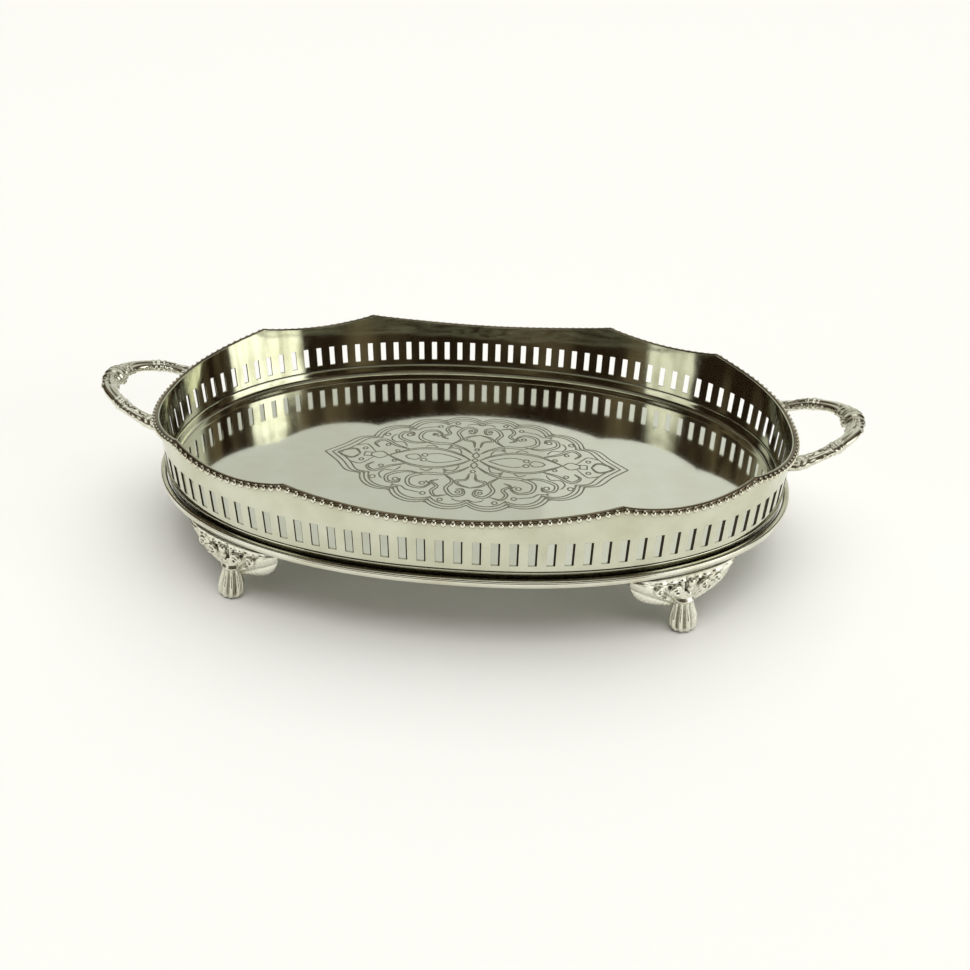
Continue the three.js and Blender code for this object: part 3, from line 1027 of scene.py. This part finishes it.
def shield():
    """The bowed leaf shield: fingers spread from the leg's top to a scalloped lower edge."""
    rows, columns = 90, 241
    a = np.linspace(-1, 1, columns)[None, :]
    d = np.linspace(0, 1, rows)[:, None]
    blunt = (1 - np.abs(a) ** 2.6) ** 0.6
    depth = SHIELD_DROP * blunt + 2.0 * MM
    z = FOOT_TOP - d * depth
    x = SHIELD_HALF_WIDTH * a + 0 * d
    spread = np.arctan2(x, (z - LEG_TOP + 14 * MM) * 0.9)
    phase = spread / math.pi * SHIELD_FINGERS * 1.15
    finger = np.abs(np.cos(math.pi * phase)) ** 0.55
    z = z - 1.5 * MM * (finger - 0.5) * d ** 6 * np.minimum(1, 5 * np.abs(a))
    drop = (FOOT_TOP + 3 * MM - z) / (SHIELD_DROP + 6 * MM)
    bow = np.sqrt(np.clip(1 - a ** 2 * 0.93 - drop ** 2 * 0.75, 0.03, 1))
    reach = np.hypot(x, z - LEG_TOP + 12 * MM) / MM
    veins = 0.08 * np.cos(2 * math.pi * reach / 3.1 - 6 * finger)
    border = swell(d, 0.13, 0.035) * 0.6 - swell(d, 0.2, 0.025) * 0.4
    relief = FINGER_RELIEF * (finger - 0.55) + veins * finger + border
    relief = relief * np.minimum(1, 9 * d + 0.1)
    y = SHIELD_OUT + SHIELD_BOW * bow
    outer = np.stack([x, y + relief * MM, z], axis=-1)
    inner = np.stack([x, y - SHIELD_THICKNESS, z], axis=-1)
    return pierced_sheet(outer, inner, np.ones((rows - 1, columns - 1), bool))


def leg():
    """The short leg: a rolled collar, then deep flutes down the front of a rounded paw."""
    levels = 110
    share = np.linspace(0, 1, levels)
    z = LEG_TOP * (1 - share)
    y = (1.2 + 4.4 * share ** 1.5) * MM
    places = [0, 0.2, 0.27, 0.34, 0.42, 0.7, 0.88, 0.96, 1]
    waist = np.interp(share, places, [6.0, 5.6, 6.9, 5.9, 5.8, 8.1, 8.2, 7.2, 5.6]) * MM
    deep = np.interp(share, places, [5.2, 4.6, 5.8, 4.9, 4.6, 6.2, 6.3, 5.6, 4.2]) * MM
    angle = np.linspace(0, 2 * math.pi, 144, endpoint=False)
    front = np.clip(np.sin(angle) + 0.25, 0, 1) ** 0.5
    flute = np.abs(np.cos(LEG_FLUTES * (angle - math.pi / 2))) ** 0.9
    fluted = np.interp(share, [0.33, 0.4, 0.86, 0.97], [0, 1, 1, 0.25])[:, None]
    carve = 1 + FLUTE_DEPTH * (flute - 0.72) * front * fluted
    sections = np.stack([
        waist[:, None] * np.cos(angle) * carve,
        deep[:, None] * np.sin(angle) * carve,
        np.zeros((levels, len(angle))),
    ], axis=-1)
    points = np.stack([np.zeros(levels), y, z], axis=-1)
    return tube(points, sections)


def scroll(centre, radius, turns, sign):
    """A small rolled leaf end: a tapering wire coiled in a flat spiral."""
    t = np.linspace(0, 1, 70)
    sweep = 2 * math.pi * turns * t
    reach = radius * (1 - 0.8 * t)
    line = np.array(centre) + np.stack([
        sign * reach * np.cos(sweep),
        1.3 * MM * t,
        reach * np.sin(sweep),
    ], axis=-1)
    along = unit(np.gradient(line, axis=0))
    angle = np.linspace(0, 2 * math.pi, 12, endpoint=False)[None, :, None]
    out = np.array([0, 1.0, 0])
    side = np.cross(along, out)[:, None, :]
    thick = (1.25 - 0.4 * t[:, None, None]) * MM
    return tube(line, thick * (np.cos(angle) * out + np.sin(angle) * side))


def foot_shells():
    shells = [shield(), leg()]
    for sign in (-1, 1):
        shells.append(scroll((sign * 9 * MM, 6.2 * MM, FOOT_TOP - 9 * MM), 3.6 * MM, 1.5, sign))
        shells.append(scroll((sign * 19 * MM, 4.2 * MM, FOOT_TOP - 8 * MM), 3.0 * MM, 1.4, -sign))
        for out, down in ((14.5, 13.5), (26.0, 8.0)):
            bow = 6.6 - out ** 2 * 0.0075
            middle = (sign * out * MM, bow * MM, FOOT_TOP - down * MM)
            shells.append(ellipsoid(middle, np.diag([1.5, 1.0, 1.2]) * MM, 12, 8))
    for i, size in enumerate([2.3, 1.9, 1.6]):
        middle = (0, (7.0 - 0.4 * i) * MM, FOOT_TOP - (4.5 + 4.2 * i) * MM)
        shells.append(ellipsoid(middle, np.diag([size * 1.1, size * 0.8, size * 1.2]) * MM, 14, 10))
    return shells


def make_feet(material):
    casting = mesh_object("foot_pattern", foot_shells())
    fuse(casting, FOOT_VOXEL)
    work = bmesh.new()
    work.from_mesh(casting.data)
    for height, direction in ((0, -1), (FOOT_TOP, 1)):
        geometry = work.verts[:] + work.edges[:] + work.faces[:]
        cut = bmesh.ops.bisect_plane(
            work, geom=geometry, plane_co=(0, 0, height), plane_no=(0, 0, direction), clear_outer=True
        )
        rim = [e for e in cut["geom_cut"] if isinstance(e, bmesh.types.BMEdge)]
        bmesh.ops.holes_fill(work, edges=rim)
    work.to_mesh(casting.data)
    work.free()
    casting.data.set_sharp_from_angle(angle=math.radians(60))
    for name, turn in FOOT_TURNS.items():
        origin = beside_oval(turn, 0, 0)
        outward = beside_oval(turn, 1, 0) - origin
        angle = math.atan2(outward[1], outward[0]) - math.pi / 2
        foot = placed(f"foot_casting_{name}", casting.data.copy())
        foot.data.transform(Matrix.Translation(origin) @ Matrix.Rotation(angle, 4, "Z"))
        finish_piece(foot, [f"foot_{name}"], material)
    bpy.data.objects.remove(casting)


# ----------------------------------------
# Camera, light and floor
# ----------------------------------------

CAMERA_PLACE = Vector((48.4, -523.7, 342.0)) * MM
CAMERA_AIM = Vector((12.2, -52.1, 50.5)) * MM
CAMERA_ROLL = math.radians(1.46)
CAMERA_LENS = 33.65


def make_camera():
    """A close view from above the front, a little to the right, as a hand-held camera sees it."""
    camera = placed("camera", bpy.data.cameras.new("camera"))
    level = (CAMERA_AIM - CAMERA_PLACE).to_track_quat("-Z", "Y").to_matrix()
    turn = level @ Matrix.Rotation(CAMERA_ROLL, 3, "Z")
    camera.matrix_world = Matrix.Translation(CAMERA_PLACE) @ turn.to_4x4()
    camera.data.sensor_width = 36
    camera.data.lens = CAMERA_LENS
    camera.data.clip_start = 0.01
    bpy.context.scene.camera = camera


# Each softbox's heading and half width in degrees, and its brightness.
SOFTBOXES = [(-53, 15, 1.4), (70, 25, 2.3)]
SOFTBOX_MIDDLE = 0.25
SOFTBOX_HALF_HEIGHT = 0.27
BACKDROP_HALF_WIDTH = 42
BACKDROP_FADE = 12
ROOM_TOP = 0.80
ROOM_FADE = 0.06
# The softboxes' edges wander over this range, in degrees.
RAGGEDNESS = 22
# Softbox colours where the cloth is flat and in its folds, at a brightness of 1.
CLOTH, CLOTH_FOLD = (1.0, 1.0, 0.98), (0.6, 0.59, 0.53)
ROOM_DARK, ROOM_LIT = (0.026, 0.015, 0.009), (0.19, 0.145, 0.095)
BACKDROP_LEFT, BACKDROP_RIGHT = (0.61, 0.62, 0.56), (0.73, 0.74, 0.68)
CEILING, CEILING_PATCH = (0.25, 0.235, 0.20), (1.1, 1.1, 1.05)
FLOOR_RADIUS = 60.0


class WorldNodes(NodeTree):
    """The studio's light, given by direction."""

    def step(self, source, low, high):
        return self.mapped(source, low, high, curve="SMOOTHSTEP")

    def background(self, colour):
        node = self.add("ShaderNodeBackground")
        self.link(colour, node.inputs["Color"])
        return node.outputs["Background"]


def add_softboxes(nodes, direction, degrees, height, edge_noise, room):
    """Puts the softboxes on the room: ragged ovals of cloth with dull folds in it."""
    wander = nodes.maths("MULTIPLY", nodes.maths("SUBTRACT", edge_noise, 0.5), RAGGEDNESS)
    ragged = nodes.maths("ADD", degrees, wander)
    up = nodes.maths("DIVIDE", nodes.maths("SUBTRACT", height, SOFTBOX_MIDDLE), SOFTBOX_HALF_HEIGHT)
    up_squared = nodes.maths("MULTIPLY", up, up)
    fold = nodes.step(nodes.noise(direction, 13, 5, 0.5), 0.36, 0.54)
    for heading, half_width, brightness in SOFTBOXES:
        across = nodes.maths("DIVIDE", nodes.maths("SUBTRACT", ragged, heading), half_width)
        reach = nodes.maths("ADD", nodes.maths("MULTIPLY", across, across), up_squared)
        dull, lit = (tuple(brightness * share for share in tint) for tint in (CLOTH_FOLD, CLOTH))
        room = nodes.mix(nodes.step(reach, 0.82, 1.12), nodes.mix(fold, dull, lit), room)
    return room


def make_world():
    """A dark room with a pale backdrop behind the tray, two ragged softboxes, and a dim ceiling
    with a bright patch overhead. The camera itself sees plain pale grey."""
    world = bpy.data.worlds.new("studio")
    bpy.context.scene.world = world
    world.use_nodes = True
    nodes = WorldNodes(world.node_tree)
    world.node_tree.nodes.clear()
    direction = nodes.add("ShaderNodeTexCoord").outputs["Generated"]
    split = nodes.add("ShaderNodeSeparateXYZ")
    nodes.link(direction, split.inputs["Vector"])
    height = split.outputs["Z"]
    front = nodes.maths("MULTIPLY", split.outputs["Y"], -1.0)
    heading = nodes.maths("ARCTAN2", split.outputs["X"], front)
    degrees = nodes.maths("MULTIPLY", heading, 180 / math.pi)
    away = nodes.maths("ABSOLUTE", degrees)

    edge_noise = nodes.noise(direction, 4.5, 6, 0.5)
    room = nodes.mix(nodes.step(edge_noise, 0.44, 0.72), ROOM_DARK, ROOM_LIT)
    backdrop = nodes.mix(nodes.step(degrees, -180, 180), BACKDROP_LEFT, BACKDROP_RIGHT)
    backdrop_edge = 180 - BACKDROP_HALF_WIDTH
    colour = nodes.mix(nodes.step(away, backdrop_edge - BACKDROP_FADE, backdrop_edge), room, backdrop)
    colour = add_softboxes(nodes, direction, degrees, height, edge_noise, colour)
    ceiling = nodes.mix(nodes.step(height, 0.93, 0.96), CEILING, CEILING_PATCH)
    colour = nodes.mix(nodes.step(height, ROOM_TOP - ROOM_FADE, ROOM_TOP + ROOM_FADE), colour, ceiling)

    rays = nodes.add("ShaderNodeLightPath")
    choose = nodes.add("ShaderNodeMixShader")
    nodes.link(rays.outputs["Is Camera Ray"], choose.inputs["Fac"])
    nodes.link(nodes.background(colour), choose.inputs[1])
    nodes.link(nodes.background((0.93, 0.93, 0.93)), choose.inputs[2])
    nodes.link(choose.outputs["Shader"], nodes.add("ShaderNodeOutputWorld").inputs["Surface"])


def make_lights():
    """A wide soft light from straight above, even over the whole floor."""
    data = bpy.data.lights.new("overhead_soft_light", "SUN")
    data.energy = 2.2
    data.angle = math.radians(80)
    data.color = (1, 1, 0.98)
    lamp = placed("overhead_soft_light", data)
    lamp.rotation_euler = (math.radians(-8), math.radians(6), 0)
    lamp.visible_glossy = False


def make_floor():
    material = bpy.data.materials.new("studio_floor")
    material.use_nodes = True
    shader = material.node_tree.nodes["Principled BSDF"]
    shader.inputs["Base Color"].default_value = (0.93, 0.93, 0.92, 1)
    shader.inputs["Roughness"].default_value = 0.9
    angles = np.linspace(0, 2 * math.pi, 64, endpoint=False)
    corners = [(FLOOR_RADIUS * math.cos(a), FLOOR_RADIUS * math.sin(a), 0) for a in angles]
    mesh = bpy.data.meshes.new("studio_floor")
    mesh.from_pydata(corners, [], [list(range(len(corners)))])
    mesh.materials.append(material)
    floor = placed("studio_floor", mesh)


# ----------------------------------------
# The tray
# ----------------------------------------

bpy.context.scene.view_settings.view_transform = "Standard"
make_camera()
make_world()
make_lights()
make_floor()
finishes = make_materials()
make_pan(finishes["pan"], finishes["engraved"], finishes["wall"])
make_base_wire(finishes["moulding"])
for half, first_turn in (("back", 0.0), ("front", 0.5)):
    wall = (f"pierced_wall_{half}", f"gallery_wall_{half}")
    beads = (f"beaded_edge_{half}", f"rim_bead_wire_{half}")
    make_wall(*wall, first_turn, finishes["wall"], finishes["slot_shade"])
    make_beads(*beads, first_turn, finishes["bead"], finishes["channel"])
make_handles(finishes["cast"])
make_feet(finishes["feet"])
